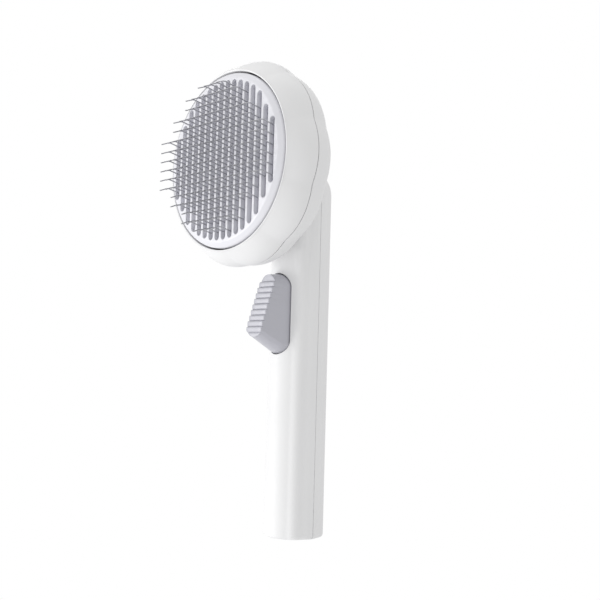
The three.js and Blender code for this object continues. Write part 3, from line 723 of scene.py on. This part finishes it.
def screw(node):
    """A pan-head screw with a cross recess and a helical thread, pointing from its head to its tip."""
    low, high = span(node)
    x, z = (low[0] + high[0]) / 2, (low[2] + high[2]) / 2
    faces_front = node.startswith("bed")
    head_y = low[1] if faces_front else high[1]
    inwards = 1 if faces_front else -1
    length = high[1] - low[1]
    sides, pitch = 28, 0.8
    profile = [(0, 0), (0.9, 0.02), (1.5, 0.12), (1.85, 0.36), (2, 0.7), (1.96, 0.95), (1.0, 1.0)]
    steps = int((length - 1.9) / 0.1)
    rings = []
    for radius, depth in profile:
        rings.append([(radius, depth)] * sides)
    for step in range(steps):
        depth = 1.2 + step * 0.1
        taper = min((length - depth - 0.5) / 1.5, 1)
        ring = []
        for side in range(sides):
            phase = (depth / pitch - side / sides) % 1
            ridge = 0.24 * max(0, 1 - abs(phase - 0.5) * 3)
            ring.append(((0.76 + ridge) * max(taper, 0.25), depth))
        rings.append(ring)
    rings.append([(0, length - 0.02)] * sides)
    points = []
    for ring in rings:
        for side, (radius, depth) in enumerate(ring):
            angle = 2 * math.pi * side / sides
            across, up = radius * math.cos(angle), radius * math.sin(angle)
            points.append((x + across, head_y + inwards * depth, z + up))
    piece = new_object("screw", points, grid_faces(len(rings), sides, False, True))
    ys = sorted((head_y - inwards * 0.5, head_y + inwards * 0.62))
    long, narrow = 0.95, 0.2
    bars = ((long, narrow), (narrow, long))
    return cut(piece, [block((x - wide, x + wide), ys, (z - tall, z + tall)) for wide, tall in bars])


# ---- trigger ----

NOSE_LOW, NOSE_HIGH, NOSE_HALF_WIDTH = 81.6, 107.9, 4.8
BASE_LOW, BASE_HIGH, BASE_HALF_WIDTH = 75.4, 108.4, 5.7
BASE_Y, ROOT_Y = -12.2, -7
EDGE_WIDTH, EDGE_DEPTH = 0.45, 0.4
EDGE_ROUND = [(0, 1), (0.13, 0.5), (0.5, 0.13), (1, 0)]
WALL_SHARES = [0.2, 0.4, 0.6, 0.8, 0.93]
RIB_FACES = [-17.7, -18.7, -19.6, -20.4, -21.2, -22, -22.7, -23.5, -24.3, -24.8, -24.6]
RIB_TOP, RIB_PITCH = 104.7, 2.355
GROOVE_DEPTH, GROOVE_WIDTH, RIB_CROWN = 0.24, 0.2, 0.12
END_RADIUS, END_RISE = 1.1547, 0.57735
FINGER_Z, FINGER_RADIUS = 144.7, 2
FINGER_Y = PUSHER_LOW[1] + 3 + GAP


def button_half_width(z, low, high, half_width):
    """Half width of the button's outline: a round top, and a blunter end that meets the sides at a corner."""
    if z >= low + END_RISE * half_width:
        over = max(z - (high - half_width), 0)
        return math.sqrt(max(half_width ** 2 - over ** 2, 0))
    radius = END_RADIUS * half_width
    return math.sqrt(max(radius ** 2 - (radius - z + low) ** 2, 0))


def rib_y(z):
    """The ribbed face: upright lands that step outwards going down, with a small groove at each step."""
    place = (RIB_TOP - z) / RIB_PITCH
    rib = min(max(math.floor(place) + 1, 0), len(RIB_FACES) - 1)
    nearest = min(max(round(place), 0), len(RIB_FACES) - 2)
    groove = GROOVE_DEPTH * math.exp(-((place - nearest) * RIB_PITCH / GROOVE_WIDTH) ** 2)
    crown = RIB_CROWN * abs((place % 1) * 2 - 1) ** 3 if place > 0 else 0
    return RIB_FACES[rib] + groove + crown


def button_heights():
    """Heights of the button's rows, top first: even ones, closer ones at the ends, a pair at each step."""
    count, turns = 170, 10
    ends = [math.radians(90) * step / turns for step in range(turns + 1)]
    inner_high, inner_low = NOSE_HIGH - NOSE_HALF_WIDTH, NOSE_LOW + END_RISE * NOSE_HALF_WIDTH
    heights = [NOSE_HIGH - (NOSE_HIGH - NOSE_LOW) * step / count for step in range(count + 1)]
    heights += [inner_high + NOSE_HALF_WIDTH * math.cos(end) for end in ends]
    heights += [NOSE_LOW + (inner_low - NOSE_LOW) * (1 - math.cos(end)) for end in ends]
    steps = range(len(RIB_FACES) - 1)
    heights += [RIB_TOP - RIB_PITCH * step + side * 0.02 for step in steps for side in (-1, 1)]
    return sorted(set(round(height, 4) for height in heights), reverse=True)


def button():
    """The finger piece: ribbed face, drafted side walls and a root inside the handle."""
    rows = []
    for z in button_heights():
        base_z = base_height(z)
        wide = button_half_width(z, NOSE_LOW, NOSE_HIGH, NOSE_HALF_WIDTH)
        base_wide = button_half_width(base_z, BASE_LOW, BASE_HIGH, BASE_HALF_WIDTH)
        face_y = rib_y(z)
        row = [(-base_wide, ROOT_Y, base_z), (-base_wide, BASE_Y, base_z)]
        for t in WALL_SHARES:
            row.append(wall_point(-1, t, wide, base_wide, z, base_z, face_y))
        edge = min(EDGE_WIDTH, wide * 0.5)
        for inset, drop in EDGE_ROUND:
            row.append((-(wide - edge * inset), face_y + EDGE_DEPTH * drop, z))
        row += [((wide - edge) * share, face_y, z) for share in (-0.6, -0.2, 0.2, 0.6)]
        for inset, drop in reversed(EDGE_ROUND):
            row.append((wide - edge * inset, face_y + EDGE_DEPTH * drop, z))
        for t in reversed(WALL_SHARES):
            row.append(wall_point(1, t, wide, base_wide, z, base_z, face_y))
        row += [(base_wide, BASE_Y, base_z), (base_wide, ROOT_Y, base_z)]
        rows.append(row)
    points = [point for row in rows for point in row]
    return new_object("button", points, grid_faces(len(rows), len(rows[0]), False, True))


def base_height(z):
    """The height on the base outline that belongs to a height on the nose outline."""
    nose_high, nose_low = NOSE_HIGH - NOSE_HALF_WIDTH, NOSE_LOW + END_RISE * NOSE_HALF_WIDTH
    base_high, base_low = BASE_HIGH - BASE_HALF_WIDTH, BASE_LOW + END_RISE * BASE_HALF_WIDTH
    if z > nose_high:
        return base_high + (z - nose_high) / NOSE_HALF_WIDTH * BASE_HALF_WIDTH
    if z < nose_low:
        return base_low - (nose_low - z) / NOSE_HALF_WIDTH * BASE_HALF_WIDTH
    return base_low + (z - nose_low) / (nose_high - nose_low) * (base_high - base_low)


def wall_point(side, t, wide, base_wide, z, base_z, face_y):
    return (side * (base_wide + (wide - base_wide) * t), BASE_Y + (face_y + EDGE_DEPTH - BASE_Y) * t,
            base_z + (z - base_z) * t)


def arm_outline():
    """Side view of the rocking arm as (y, z) points: a bar with a round finger that faces the pusher."""
    finger_z, half, tip_y = FINGER_Z, FINGER_RADIUS, FINGER_Y
    outline = [(-3.4, PIVOT_Z), (3.4, PIVOT_Z), (5.5, finger_z - 6), (5.5, finger_z + half - 0.8)]
    outline += [(5.3, finger_z + half - 0.2), (4.7, finger_z + half)]
    for step in range(13):
        turn = math.radians(90 + 15 * step)
        outline.append((tip_y + half + half * math.cos(turn), finger_z + half * math.sin(turn)))
    outline += [(-0.6, finger_z - half), (0.5, finger_z - half - 0.5), (1, finger_z - half - 1.6)]
    return outline


def trigger():
    piece = cut(button(), [block((-3.9, 3.9), (-16, -6), (81.2, 103.2))])
    web = slab([(-2, 103.7), (-3, 110.7), (-9, 107.9), (-16.4, 103.1), (-16.4, 80.6), (-7, 80.6)], 1)
    arm = ease(slab(arm_outline(), 3), 0.5, 60)
    hub = ease(rod_x(0, PIVOT_Z, 5, 4), 0.3, 60)
    add(piece, [web])
    add(piece, [hub])
    add(piece, [arm])
    return cut(piece, [rod_x(0, PIVOT_Z, 6, PIVOT_RADIUS + GAP)])


def pivot_pin():
    return ease(rod_x(0, PIVOT_Z, PIVOT_HIGH[0], PIVOT_RADIUS, 48), 0.3, 60)


# ---- the brush ----

def build_brush():
    finished(head_front(), "head_front_moulding", "head_front_shell", "body", SHELL)
    finished(head_rear(), "head_rear_moulding", "head_rear_shell", "body", SHELL)
    finished(handle_front(), "handle_front_moulding", "handle_front_shell", "body", SHELL)
    finished(handle_rear(), "handle_rear_moulding", "handle_rear_shell", "body", SHELL)
    finished(stripper_plate(), "slotted_plate", "stripper_plate", "stripper", PLATE)
    finished(pusher(), "pusher_disc", "pusher_carrier", "stripper", INNER)
    finished(pin_bed(), "pin_bed_dish", "pin_bed", "body", BED)
    finished(backing_plate(), "backing_disc", "pin_backing_plate", "body", INNER)
    for row, node in enumerate(ROWS):
        finished(pin_row(row), f"wires_{row + 1:02d}", node, "body", WIRE, 50)
    for number in range(1, 5):
        coil = coil_spring(number)
        node = f"return_spring_{number}"
        spring = finished(coil, f"coil_{number}", node, "body", SPRING, 60)
        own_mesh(spring)
        for kind in ("bed", "neck"):
            node = f"{kind}_screw_{number}"
            finished(screw(node), f"{kind}_fixing_{number}", node, "body", FASTENER, 40)
    finished(trigger(), "trigger_moulding", "trigger", "trigger", LILAC, 28)
    finished(pivot_pin(), "pivot_rod", "trigger_pivot_pin", "body", FASTENER)


# ---- studio ----

LIGHT_AIM = Vector((0, -30, 120)) * MM
ROOM_LIGHT = 0.82
EYE = Vector((315.1, -289.4, 65.7)) * MM
EYE_RIGHT = Vector((0.6783, 0.7343, 0.0276))
EYE_UP = Vector((0.0375, -0.0721, 0.9967))
EYE_BACK = Vector((0.7338, -0.6750, -0.0764))


def build_camera():
    data = bpy.data.cameras.new("eye")
    data.lens = 60.8
    data.sensor_width = 36
    data.clip_start = 0.01
    camera = bpy.data.objects.new("eye", data)
    turn = Matrix((EYE_RIGHT, EYE_UP, EYE_BACK)).transposed().to_4x4()
    camera.matrix_world = Matrix.Translation(EYE) @ turn
    bpy.context.scene.collection.objects.link(camera)
    bpy.context.scene.camera = camera


def build_floor():
    mesh = bpy.data.meshes.new("pale_floor")
    size, height = 0.6, -0.32
    corners = [(-size, -size), (size, -size), (size, size), (-size, size)]
    mesh.from_pydata([(x, y, height) for x, y in corners], [], [(0, 1, 2, 3)])
    floor = bpy.data.objects.new("pale_floor", mesh)
    bpy.context.scene.collection.objects.link(floor)
    nodes = Nodes("pale_floor")
    nodes.colours(nodes.noise(8, 3), (0.86, 0.86, 0.87), (0.88, 0.88, 0.89))
    nodes.shader.inputs["Roughness"].default_value = 0.7
    mesh.materials.append(nodes.material)


def area_light(name, place, power, size, aim):
    data = bpy.data.lights.new(name, "AREA")
    data.shape = "DISK"
    data.size = size
    data.energy = power
    lamp = bpy.data.objects.new(name, data)
    lamp.location = place
    lamp.rotation_euler = (Vector(aim) - Vector(place)).to_track_quat("-Z", "Y").to_euler()
    bpy.context.scene.collection.objects.link(lamp)


def toward(turn, lift, distance):
    """A place at a distance from the brush: turned from its front to its left, and lifted, in degrees."""
    turn, lift = math.radians(turn), math.radians(lift)
    flat = distance * math.cos(lift)
    return LIGHT_AIM + Vector((-flat * math.sin(turn), -flat * math.cos(turn), distance * math.sin(lift)))


def build_light():
    """A pale room that lights the brush from all sides under a white sky, and four soft lamps."""
    world = bpy.data.worlds.new("studio")
    bpy.context.scene.world = world
    world.use_nodes = True
    tree = world.node_tree
    background = tree.nodes["Background"]
    background.inputs["Color"].default_value = (1, 1, 1, 1)
    path = tree.nodes.new("ShaderNodeLightPath")
    strength = tree.nodes.new("ShaderNodeMapRange")
    strength.inputs["To Min"].default_value = ROOM_LIGHT
    strength.inputs["To Max"].default_value = 1
    tree.links.new(path.outputs["Is Camera Ray"], strength.inputs["Value"])
    tree.links.new(strength.outputs["Result"], background.inputs["Strength"])
    area_light("key", toward(24, -24, 0.9), 2.5, 0.4, LIGHT_AIM)
    area_light("gloss", toward(42, 0, 0.9), 1.5, 0.24, LIGHT_AIM)
    area_light("top", toward(100, 80, 0.8), 0.9, 0.5, LIGHT_AIM)
    area_light("back", toward(133, 25, 0.9), 1, 0.5, LIGHT_AIM)


build_camera()
build_brush()
build_floor()
build_light()
bpy.context.scene.view_settings.view_transform = "Standard"
